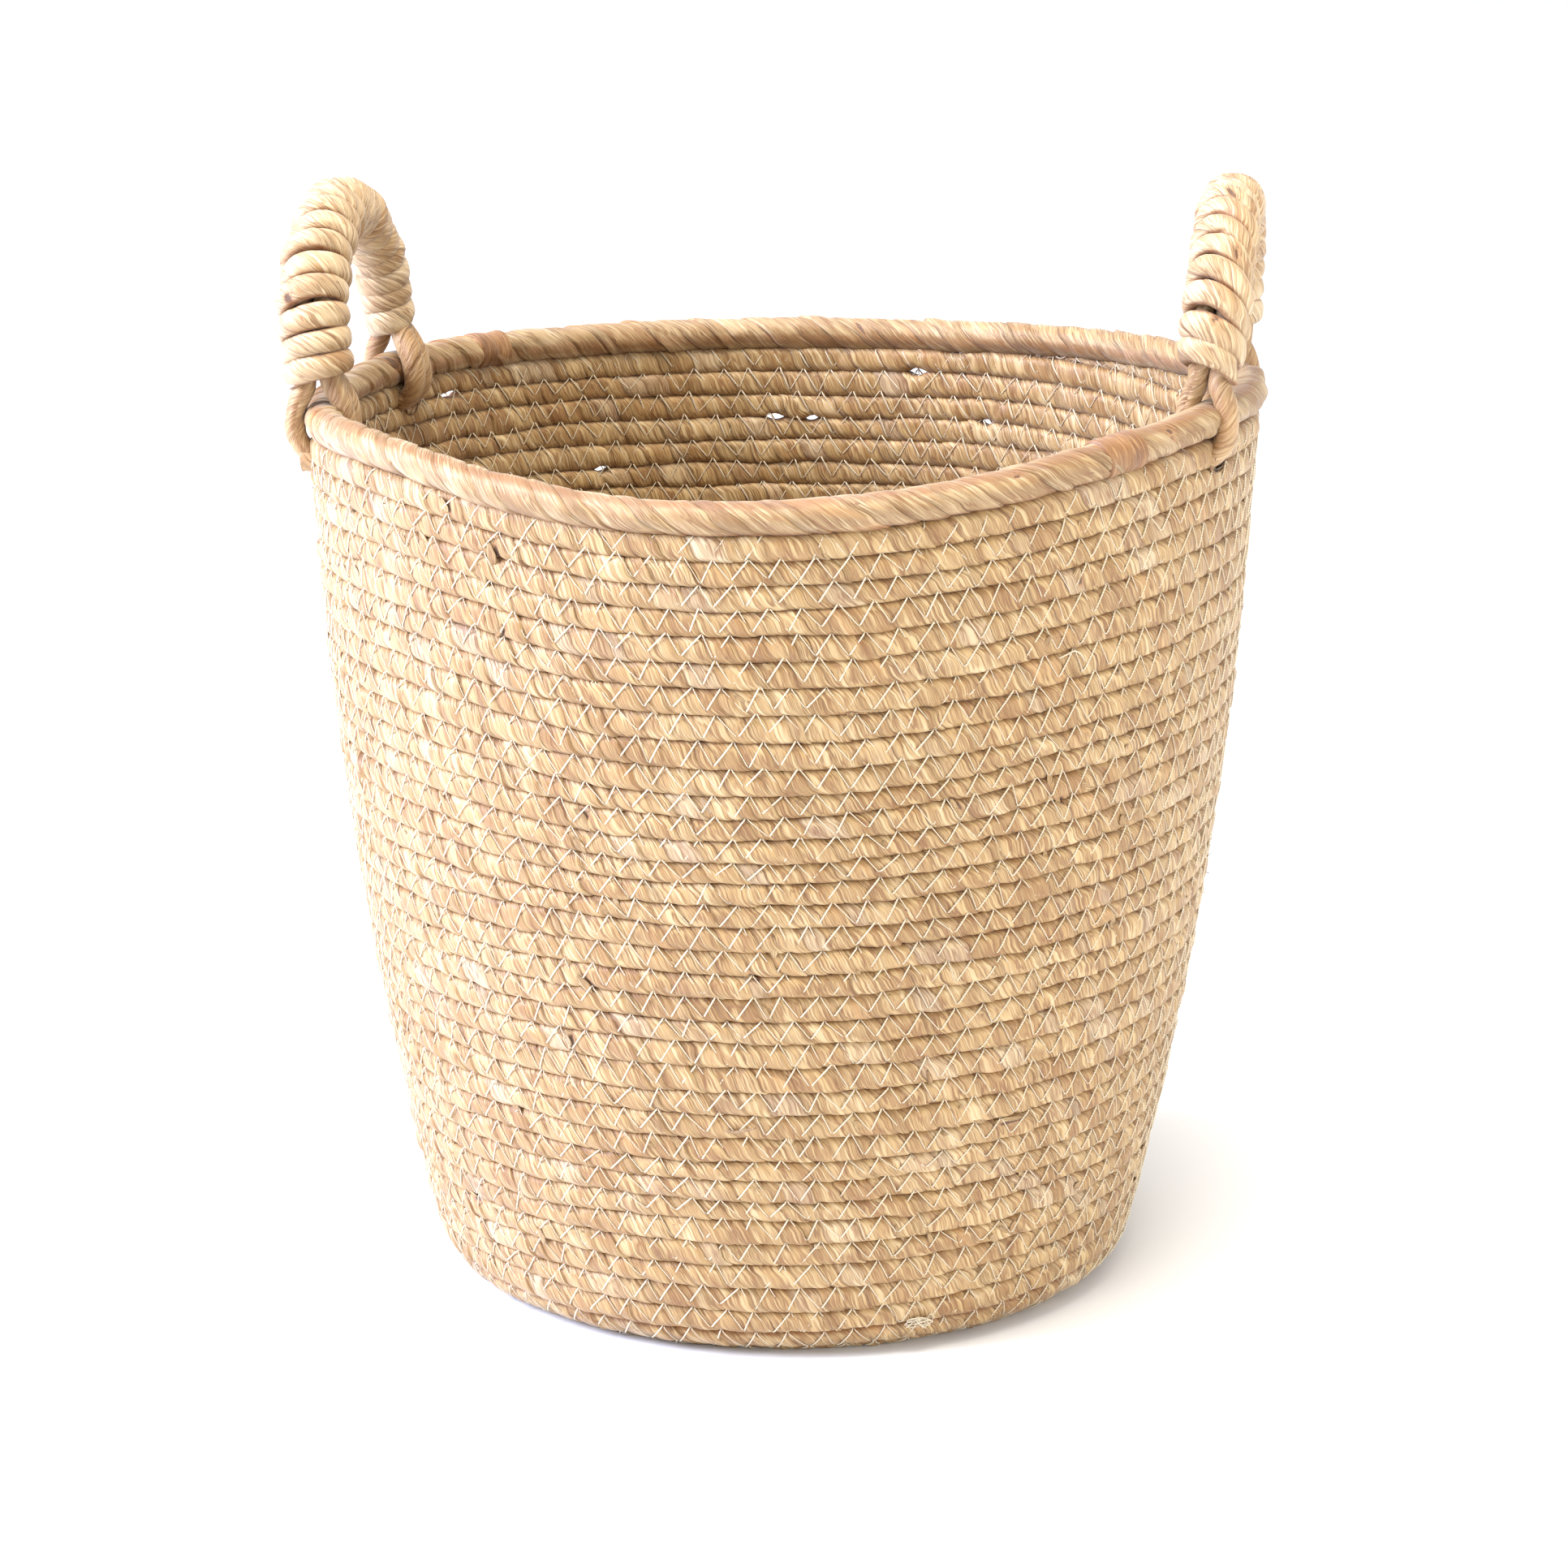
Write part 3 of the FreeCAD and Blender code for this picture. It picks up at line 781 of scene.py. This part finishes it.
# ---- Handles
class Handle:
    """Middle line of one handle: a leg, an arch and a leg, from rim centre to rim centre."""

    def __init__(self, name):
        self.name = name
        self.side = side = 1 if name == "right" else -1
        lean = radians(LEG_CONVERGE_DEG)
        top = HANDLE_RISE[name] + RIM_ROPE_R - WRAP_R
        arch = (HANDLE_SPAN / 2 - top * math.tan(lean)) * math.cos(lean) / (1 - math.sin(lean))
        middle = top - arch
        leg = HANDLE_SPAN / 2 * math.sin(lean) + middle * math.cos(lean)
        sweep = pi - 2 * lean
        s = np.linspace(0, 2 * leg + arch * sweep, 900)
        turned = np.clip((s - leg) / arch, 0, sweep)
        before, after = np.minimum(s - leg, 0), np.maximum(s - leg - arch * sweep, 0)
        along = -arch * np.cos(turned + lean) + (before + after) * math.sin(lean)
        up = middle + arch * np.sin(turned + lean) + (before - after) * math.cos(lean)
        leg_x = math.sqrt(RIM_R ** 2 - (HANDLE_SPAN / 2) ** 2)
        tilt = radians(HANDLE_LEAN_DEG[name])
        inset = REAR_LEG_IN[name] * ease(along / HANDLE_SPAN + 0.5)
        self.points = np.stack([side * (leg_x + up * math.sin(tilt) - inset), along,
                                RIM_Z + up * math.cos(tilt)], -1)
        self.points[:, 2] += rise(np.arctan2(self.points[:, 1], self.points[:, 0]), self.points[:, 2])
        self.s = walk(self.points)
        self.total = float(self.s[-1])
        self.away = np.array([side * math.cos(tilt), 0.0, -math.sin(tilt)])
        self.slopes = np.gradient(self.points, self.s, axis=0)

    def at(self, s, reach, angle):
        """Points at a distance from the middle line, at an angle round it from the outward direction."""
        middle = np.stack([np.interp(s, self.s, self.points[:, i]) for i in range(3)], -1)
        ahead = np.stack([np.interp(s, self.s, self.slopes[:, i]) for i in range(3)], -1)
        across = unit(np.cross(ahead, self.away) * self.side)
        spoke = np.cos(angle)[..., None] * self.away + np.sin(angle)[..., None] * across
        return middle + reach[..., None] * spoke, spoke, ahead


WRAPS = {
    # ends: first and last winding above the rim centre; girth: thickness front and rear; slant: of the
    # windings; settle: where it fades at the rear; beside: from the rim's middle to a strand's; strands:
    # name, side, place along the rim
    "left": {"ends": (18.0, 19.0), "girth": (1.06, 0.82), "slant": 1.2, "settle": 25.0, "beside": 11.3,
             "seed": 700, "strands": [("outer", 1, 0.0), ("inner", -1, -4.6), ("inner_second", -1, 4.6)]},
    "right": {"ends": (20.0, 22.0), "girth": (0.98, 0.88), "slant": 5.0, "settle": 60.0, "beside": 8.8,
              "seed": 500, "strands": [("outer", 1, 0.0), ("inner", -1, 0.0)]},
}
STRAND_KNOTS = [  # below the rim's middle; share of the way beside it; towards the near end
    (LOOP_DEPTH + 3.0, -0.7, 2.0), (LOOP_DEPTH + 2.4, 0.1, 1.8), (LOOP_DEPTH - 1.5, 0.62, 1.4),
    (LOOP_DEPTH * 0.5, 0.95, 0.6), (0.0, 1.0, 0.0), (-7.5, 0.84, -0.5), (-13.0, 0.58, -0.6),
]


def girth_at(wrap, share):
    front, rear = wrap["girth"]
    return front + (rear - front) * ease(share)


def make_handle(name):
    """Husk wound round a handle, turn against turn, and the strands that hold it to the rim."""
    handle, wrap = Handle(name), WRAPS[name]
    seed = wrap["seed"]
    first, last = wrap["ends"][0], handle.total - wrap["ends"][1]
    turns = (last - first) / WRAP_PITCH
    angle = np.linspace(0, turns * TAU, int(turns * 60))
    walked = first + (last - first) * angle / angle[-1]
    settle = ease((walked - first) / 25) * ease((last - walked) / 25)
    slant = wrap["slant"] * ease((last - walked) / wrap["settle"])
    uneven = 1.1 * wander(seed, angle / TAU * 0.9)
    s = walked - slant * np.cos(angle + radians(70)) + uneven * settle
    girth = girth_at(wrap, (walked - first) / (last - first))
    reach = WRAP_MIDDLE * girth + 0.7 * wander(seed + 1, angle / TAU * 2.3) * settle
    centre, spoke, _ = handle.at(s, reach, -angle)
    half = WRAP_PITCH * 0.555 * (1 + 0.10 * wander(seed + 2, angle / TAU * 1.7))
    depth = WRAP_DEPTH * WRAP_SWELL * girth * (1 + 0.20 * wander(seed + 3, angle / TAU * 2.1))
    route = Route(centre, spoke, depth, half)
    spacing = WRAP_LEAD / WRAP_HUSKS
    piece = husk_rope(f"husk_{name}_handle_wrap", route, 0, int(route.length[-1] / spacing), WRAP_LEAD,
                      WRAP_HUSKS, seed + 10, HANDLE_HUSK, bulge=0.4, around=30, squareness=2.1,
                      scars=handle_scars(handle))
    finish_piece(piece, f"{name}_handle", "handle_husk", f"{name}_handle_wrap")
    make_strands(handle, wrap)


def make_strands(handle, wrap):
    """The strands inside a handle, which straddle the rim and go through the wall at each end."""
    name = handle.name
    beside = wrap["beside"]
    for kind, sign, shift in wrap["strands"]:
        outer = sign > 0
        seed = wrap["seed"] + (40 if outer else 60) + int(shift)
        s = np.linspace(wrap["ends"][0] + 2, handle.total - wrap["ends"][1] - 2, 30)
        girth = girth_at(wrap, (s - s[0]) / (s[-1] - s[0]))
        core, core_out, _ = handle.at(s, STRAND_R * girth, np.full(len(s), 0 if outer else pi))
        ends, ends_out = [], []
        for end in (0, 1):
            foot = handle.points[-end]
            radial = foot * np.array([1.0, 1.0, 0.0]) / math.hypot(foot[0], foot[1])
            spread = np.array([0.0, -1.0 if end == 0 else 1.0, 0.0])
            knots = [foot + radial * sign * share * beside - np.array([0, 0, drop]) + spread * drift
                     + np.array([0, shift * (0.4 + 0.6 * share), 0]) for drop, share, drift in STRAND_KNOTS]
            ends.append(np.array(knots))
            ends_out.append(np.tile(radial * sign, (len(knots), 1)))
        path = np.concatenate([ends[0], core, ends[1][::-1]])
        out = np.concatenate([ends_out[0], core_out, ends_out[1]])
        centre, out = smooth_line(path, out)
        size = STRAND_R * (1 + 0.07 * wander(seed, np.arange(len(centre)) / 30))
        route = Route(centre, out, size * 0.96, size * 1.08)
        spacing = STRAND_LEAD / STRAND_HUSKS
        piece = husk_rope(f"husk_{name}_{kind}_strand", route, 0, int(route.length[-1] / spacing) + 2,
                          STRAND_LEAD, STRAND_HUSKS, seed, STRAND_HUSK, bulge=0.4, radius=STRAND_R,
                          around=22, squareness=2.0)
        nodes = [f"{name}_handle_core_inner"]
        if outer:
            nodes = [f"{name}_handle_core_outer", f"{name}_front_loop", f"{name}_rear_loop"]
        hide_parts(*nodes)
        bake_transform(piece)


def smooth_line(points, out, step=0.8):
    """A smooth line through points, as a dense Catmull-Rom curve, with its outward directions."""
    lengths = walk(points)
    both = np.concatenate([points, out], 1)
    slopes = np.gradient(both, lengths, axis=0)
    places = np.linspace(0, lengths[-1], int(lengths[-1] / step))
    cell = np.clip(np.searchsorted(lengths, places, side="right") - 1, 0, len(lengths) - 2)
    wide = (lengths[cell + 1] - lengths[cell])[:, None]
    t = ((places - lengths[cell]) / wide[:, 0])[:, None]
    near, far = both[cell], both[cell + 1]
    line = (near * (1 + 2 * t) * (1 - t) ** 2 + slopes[cell] * wide * t * (1 - t) ** 2
            + far * t ** 2 * (3 - 2 * t) - slopes[cell + 1] * wide * t ** 2 * (1 - t))
    return line[:, :3], line[:, 3:]


# ---- Loose ends: raised husk flaps, dark splits, wisps and stray thread
def wall_place(azimuth, height):
    """A point on the wall's outside with its outward, forward and upward directions."""
    distances = np.linspace(OUTLINE.flat, OUTLINE.length, 2000)
    distance = np.interp(height, OUTLINE.at(distances)[1], distances)
    part = (azimuth - 90.0) / 360.0
    rows = np.arange(BASE_ROUNDS - 2, ROUNDS) + part % 1.0
    turn = rows[np.argmin(np.abs(np.interp(rows, COIL.turn, COIL.middle) - distance))]
    reach = COIL.surface(turn, distance)
    radius, level, out_r, out_z = (float(v) for v in OUTLINE.at(distance))
    cos, sin = compass(azimuth)
    radius, level = radius + reach * out_r, level + reach * out_z
    point = np.array([radius * cos, radius * sin, level + rise(radians(azimuth), level)])
    out, ahead = np.array([out_r * cos, out_r * sin, out_z]), np.array([-sin, cos, 0.0])
    return point, out, ahead, np.cross(out, ahead)


def rim_place(azimuth, angle_deg):
    """A point on the rim rope, at an angle up from its outer side."""
    cos, sin = compass(azimuth)
    flat, ahead = np.array([cos, sin, 0.0]), np.array([-sin, cos, 0.0])
    level, raised = compass(angle_deg)
    out = flat * level + np.array([0, 0, 1.0]) * raised
    middle = flat * RIM_R + np.array([0, 0, RIM_Z + rise(radians(azimuth), RIM_Z)])
    return middle + out * RIM_ROPE_R, out, ahead, np.cross(out, ahead)


def handle_place(handle, s, angle_deg, girth):
    reach = (WRAP_MIDDLE + WRAP_DEPTH) * girth
    point, out, ahead = handle.at(np.array(s), np.array(reach), np.array(radians(angle_deg)))
    return point, out, np.cross(ahead, out), ahead


LEAF_CURL = 0.24
LEAF_THICK = 0.14


class Leaves:
    """Thin pieces of husk, gathered into one mesh."""

    def __init__(self, seed):
        self.points, self.faces, self.values, self.count, self.seed = [], [], [], 0, seed

    def add(self, place, slant_deg, length, width, lift, sink):
        """A leaf-shaped piece that lies at a slant, with one end tucked in and the other raised."""
        point, out, ahead, up = place
        rows, columns = 13, 7
        self.seed += 1
        slant = radians(slant_deg)
        way = ahead * math.cos(slant) + up * math.sin(slant)
        side = np.cross(out, way)
        t = np.linspace(0, 1, rows)[:, None]
        w = np.linspace(-1, 1, columns)[None]
        shape = np.sin(pi * np.clip(t * 0.93 + 0.05, 0, 1)) ** 0.7
        edge = width / 2 * shape * (1 + 0.25 * wander(self.seed, t * 4.0, w * 0.5))
        raised = -sink + lift * t ** 2.2 + LEAF_CURL * w ** 2 * t * min(lift, 2.0)
        raised = raised + 0.25 * (1 - w ** 2) * shape + 0.18 * wander(self.seed + 500, t * 5, w * 2)
        along = (t - 0.5) * length
        for level in (0.5, -0.5):
            grid = (point + way * along[..., None] + side * (w * edge)[..., None]
                    + out * (raised + level * LEAF_THICK)[..., None])
            self.points.append(grid.reshape(-1, 3))
            husk = self.seed * 3 + 0.15 + 0.7 * (w * 0.5 + 0.5) + 0 * t
            self.values.append(np.stack(np.broadcast_arrays(husk, along, along * 0.6), -1).reshape(-1, 3))
        faces = grid_faces(rows, columns)
        base, size = self.count, rows * columns
        index = np.arange(size).reshape(rows, columns)
        ring = np.concatenate([index[0], index[1:, -1], index[-1, -2::-1], index[-2:0:-1, 0]])
        after = np.roll(ring, -1)
        band = np.stack([ring, after, after + size, ring + size], -1)
        self.faces += [faces + base, faces[:, ::-1] + base + size, band + base]
        self.count += 2 * size

    def build(self, name, material, body, slot):
        piece = new_mesh(name, np.concatenate(self.points), np.concatenate(self.faces), material)
        point_values(piece, "husk", np.concatenate(self.values))
        finish_piece(piece, body, slot)


def loose_strand(name, place, steps, radius, taper, material=None):
    """A fibre or thread through steps outward, forward and upward of a place, tapered to its free end."""
    point, out, ahead, up = place
    points = np.array([point + out * a + ahead * b + up * c for a, b, c in steps])
    line, across = smooth_line(points, np.tile([0.13, 0.21, 0.97], (len(points), 1)), step=0.6)
    radius = radius * (1 - (1 - taper) * np.linspace(0, 1, len(line)))
    piece = tube(name, line, material or STRAND_HUSK, radius, across, sides=6)
    finish_piece(piece, "basket", "sewing_thread" if material else "coil_husk")


# Brown scars and splits in the husk, each with painted shade darkening its hollow middle. Slants are in
# degrees, lengths and widths in millimetres.
WALL_SCARS = [
    # azimuth, height, slant, length, width, lift of the husk beside it
    (-113.7, 336.5, 100, 9.5, 3.4, 1.6), (-113.4, 306.0, 60, 6.0, 2.4, 0.8),
    (-104.7, 167.5, 130, 8.0, 2.6, 1.2), (-82.6, 175.0, 142, 11.0, 2.6, 1.0),
    (-133.8, 51.5, 150, 10.5, 3.6, 2.2), (-70.2, 283.5, 4, 17.0, 1.8, 0.4),
    (-45.9, 102.0, 6, 13.0, 1.8, 0.4), (-42.7, 320.5, 95, 8.5, 3.4, 1.4),
    (-23.2, 266.0, 120, 6.0, 2.2, 1.0), (-103.5, 239.0, 135, 7.5, 2.4, 1.3),
    (-108.0, 140.5, 100, 7.0, 2.8, 1.0), (-120.8, 350.0, 112, 8.0, 2.6, 1.4),
    (-30.4, 220.0, 40, 8.0, 2.4, 1.2), (-43.1, 235.0, 120, 6.5, 2.2, 1.0),
    (-57.9, 242.0, 130, 8.0, 2.0, 0.8), (62.0, 210.0, 130, 8.0, 2.6, 1.2),
    (140.0, 120.0, 120, 9.0, 2.8, 1.4), (100.0, 300.0, 60, 7.0, 2.4, 1.0), (20.0, 90.0, 130, 8.0, 2.4, 1.0),
    (175.0, 260.0, 110, 7.0, 2.6, 1.2),
]
RIM_SCARS = [
    # azimuth, angle up from the outer side, slant, length, width, bend
    (-163.0, 62, 60, 13.0, 1.7, 0.8), (-157.0, 40, 75, 10.0, 1.4, 0.5), (90.4, 150, 130, 13.0, 2.0, 0.2),
    (166.0, 140, 120, 12.0, 6.0, 0.2), (-52.0, 40, 100, 10.0, 1.4, 0.4), (-29.0, 20, 120, 8.0, 3.0, 0.3),
    (40.0, 60, 110, 10.0, 1.8, 0.4), (-118.0, 50, 100, 9.0, 1.3, 0.4),
]
HANDLE_SCARS = {
    # distance along the handle from the middle of the rim, or back from its other foot where it is below
    # nothing, angle round it from outside, slant, length, width, bend
    "left": [(46, -62, 100, 9.0, 4.0, 0.4), (103, -40, 80, 6.0, 3.5, 0.3), (122, -60, 60, 5.0, 3.0, 0.2),
             (-40, -115, 20, 7.0, 2.6, 0.4), (-54, -70, 60, 4.0, 2.6, 0.2), (84, -100, 110, 9.0, 1.5, 0.5)],
    "right": [(40, -82, 60, 8.0, 3.6, 0.3), (92, -85, 120, 13.0, 3.0, 0.5), (70, -100, 10, 8.0, 2.0, 0.4),
              (-36, 60, 80, 8.0, 2.6, 0.3), (62, -60, 100, 9.0, 1.8, 0.5), (104, -50, 100, 6.0, 2.0, 0.4)],
}


def handle_scars(handle):
    scars = []
    for s, angle, slant, length, width, bend in HANDLE_SCARS[handle.name]:
        s = s if s > 0 else handle.total + s
        girth = WRAPS[handle.name]["girth"][0 if s < handle.total / 2 else 1]
        scars.append((handle_place(handle, s, angle, girth), slant, length, width, bend))
    return scars


def make_details():
    """Bits of husk that stand off the wall, beside its scars and scattered over it."""
    pale = Leaves(9000)
    for azimuth, height, slant, length, width, lift in WALL_SCARS:
        point, out, ahead, up = wall_place(azimuth, height)
        turned = radians(slant)
        side = up * math.cos(turned) - ahead * math.sin(turned)
        beside = (point + side * width * 0.75, out, ahead, up)
        pale.add(beside, slant - 8, length * 1.15, width * 1.3, lift, sink=0.5)
    for number in range(FLAKES):
        dice = [float(scatter(seed, number)) for seed in range(801, 807)]
        place = wall_place(180.0 * dice[0], 185.0 + 165.0 * dice[1])
        pale.add(place, 122 + 34 * dice[2], 7.0 + 3.0 * dice[3], 2.6 + 1.0 * dice[4],
                 0.5 + 0.7 * max(dice[5], 0) ** 2, sink=0.35)
    pale.build("husk_flaps", COIL_HUSK, "basket", "coil_husk")
    loose_fibres()


FIBRES = [  # azimuth and height at which stray fibres leave the wall
    (3.0, 176.0), (4.0, 168.0), (2.0, 184.0), (5.0, 160.0), (1.0, 172.0), (-168.0, 250.0), (-140.0, 140.0),
    (150.0, 200.0), (60.0, 120.0), (-20.0, 60.0), (-60.0, 190.0), (-96.0, 80.0),
]
SPLINTER = [(-0.8, -4, 0), (0.9, 0, 0), (1.8, 5, 1.6), (2.4, 9, 3.2)]
THREAD_TAIL = [(-0.5, -6, 0), (0.8, -3, 1.5), (1.0, 0, 2.4), (0.8, 3.5, 0.8), (0.7, 6, -2.5)]


def loose_fibres():
    """Stray fibres, a stiff splinter and the ends of sewing thread, all tied down at one end."""
    for number, spot in enumerate(FIBRES):
        bend = [float(scatter(820 + k, number)) for k in range(4)]
        long = 7.0 + 3.0 * bend[0]
        steps = [(-0.6, 0, 0)]
        for share in (0.25, 0.5, 0.75, 1.0):
            steps.append(((1.4 + 2.0 * abs(bend[1])) * math.sin(share * 2.2), bend[2] * long * share,
                          (0.3 + bend[3]) * long * share))
        loose_strand(f"loose_fibre_{number + 1}", wall_place(*spot), steps, 0.22, 0.3)
    loose_strand("loose_splinter", wall_place(-85.7, 108.0), SPLINTER, 0.85, 0.5)

    ball = [(-0.5, 0, 0)]
    for k in range(34):
        swing = [float(scatter(840 + axis, k)) for axis in range(3)]
        ball.append((1.2 + 0.8 * swing[0], 6.5 * swing[1], 3.0 * swing[2]))
    loose_strand("thread_tangle", wall_place(-57.4, 16.0), ball, 0.2, 0.9, THREAD)
    loose_strand("thread_tail", wall_place(-43.3, 291.0), THREAD_TAIL, 0.28, 0.9, THREAD)


# ---- Floor, light and camera
def make_floor():
    reach = 6.0
    points = np.array([(-reach, -reach, 0), (reach, -reach, 0), (reach, reach, 0), (-reach, reach, 0)]) / MM
    n = Nodes("studio_floor")
    n.shade(Base_Color=(0.84, 0.85, 0.86), Roughness=0.9, Specular_IOR_Level=0.1)
    floor = new_mesh("studio_floor", points, np.array([[0, 1, 2, 3]]), n.material, smooth=False)


def area_light(name, place, aim, size, energy, colour):
    data = bpy.data.lights.new(name, "AREA")
    data.shape = "DISK"
    data.size = size
    data.energy = energy
    data.color = colour
    lamp = new_object(name, data)
    lamp.location = place
    lamp.rotation_euler = (Vector(aim) - Vector(place)).to_track_quat("-Z", "Y").to_euler()


def make_lights():
    world = bpy.data.worlds.new("studio")
    world.use_nodes = True
    background = world.node_tree.nodes["Background"]
    background.inputs["Color"].default_value = (1.0, 1.0, 1.0, 1.0)
    background.inputs["Strength"].default_value = 1.01
    bpy.context.scene.world = world
    area_light("key", (-2.62, -1.0, 1.7), (0, 0, 0.2), 2.2, 235.0, (0.93, 1.0, 1.32))
    area_light("fill", (2.6, -0.9, 0.55), (0, 0, 0.25), 1.2, 34.0, (1.0, 0.97, 0.92))
    area_light("top", (0.1, -0.5, 2.4), (0, 0.1, 0.3), 1.2, 58.0, (1.0, 0.93, 0.82))
    bpy.context.scene.view_settings.view_transform = "Standard"


def make_camera():
    data = bpy.data.cameras.new("camera")
    data.sensor_width = 36.0
    data.lens = 116.0
    data.clip_end = 50.0
    camera = new_object("camera", data)
    turned, raised = radians(CAMERA_AZIMUTH), radians(CAMERA_ELEVATION)
    aim = Vector(CAMERA_AIM) * MM
    level = math.cos(raised)
    way = Vector((math.sin(turned) * level, -math.cos(turned) * level, math.sin(raised)))
    camera.location = aim + way * CAMERA_DISTANCE * MM
    camera.rotation_euler = (-way).to_track_quat("-Z", "Y").to_euler()
    bpy.context.scene.camera = camera


make_coil()
make_base_knot()
make_rim()
make_splice("rim_splice_front", FRONT_SPLICE_DEG, 51, 27.0)
make_splice("rim_splice_back", BACK_SPLICE_DEG, 57, 24.0)
make_stitches()
make_handle("right")
make_handle("left")
make_details()
make_floor()
make_lights()
make_camera()
